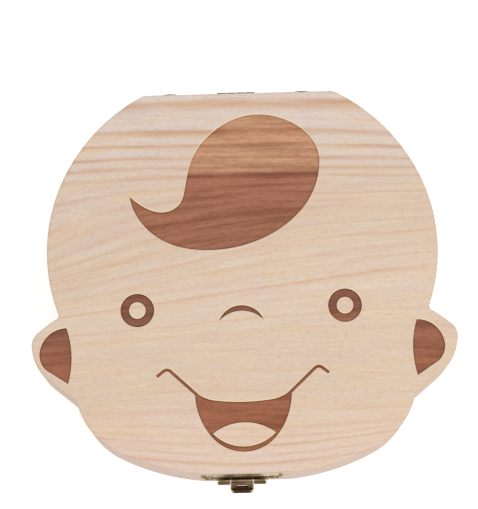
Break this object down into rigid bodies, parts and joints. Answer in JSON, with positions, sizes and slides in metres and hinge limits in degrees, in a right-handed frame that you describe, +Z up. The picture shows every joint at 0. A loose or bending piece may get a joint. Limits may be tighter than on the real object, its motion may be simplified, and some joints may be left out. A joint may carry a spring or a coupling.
{
  "type": "baby tooth box",
  "caption": "Hinged wooden keepsake box shaped as a smiling baby's head, with a tray of wells for milk teeth and a brass snap hasp.",
  "frame": {"origin": "underside of the base: on the left-right axis of the wood and 56.4 mm in front of its hinge face, which is halfway to the chin", "axes": "+Z up through the lid, +Y to the hinge, -Y to the hasp under the chin, +X to the right seen from the hasp"},
  "size_m": [0.125, 0.1203, 0.029],
  "materials": {
    "pine_shell": "sanded, waxed",
    "pine_tray": "sanded",
    "brass_plate": "polished plating",
    "brass_pin": "drawn wire",
    "brass_screw": "polished plating"
  },
  "bodies": {
    "base": {"base_shell": "pine_shell", "tooth_tray": "pine_tray", "hinge_base_leaf": "brass_plate", "hinge_pin": "brass_pin", "hinge_base_screws": "brass_screw", "catch_plate": "brass_plate", "catch_plate_screws": "brass_screw"},
    "lid": {"lid_shell": "pine_shell", "hinge_lid_leaf": "brass_plate", "hinge_lid_screws": "brass_screw", "hasp_plate": "brass_plate", "hasp_pin": "brass_pin", "hasp_plate_screws": "brass_screw"},
    "tongue": {"hasp_tongue": "brass_plate"}
  },
  "joints": [
    {"name": "lid_hinge", "type": "hinge", "parent": "base", "child": "lid", "pos_m": [-0.0008, 0.0578, 0.018], "axis": [-1, 0, 0], "range_deg": [0, 180]},
    {"name": "hasp_swing", "type": "hinge", "parent": "lid", "child": "tongue", "pos_m": [-0.0019, -0.0581, 0.0189], "axis": [-1, 0, 0], "range_deg": [-10, 140]}
  ]
}
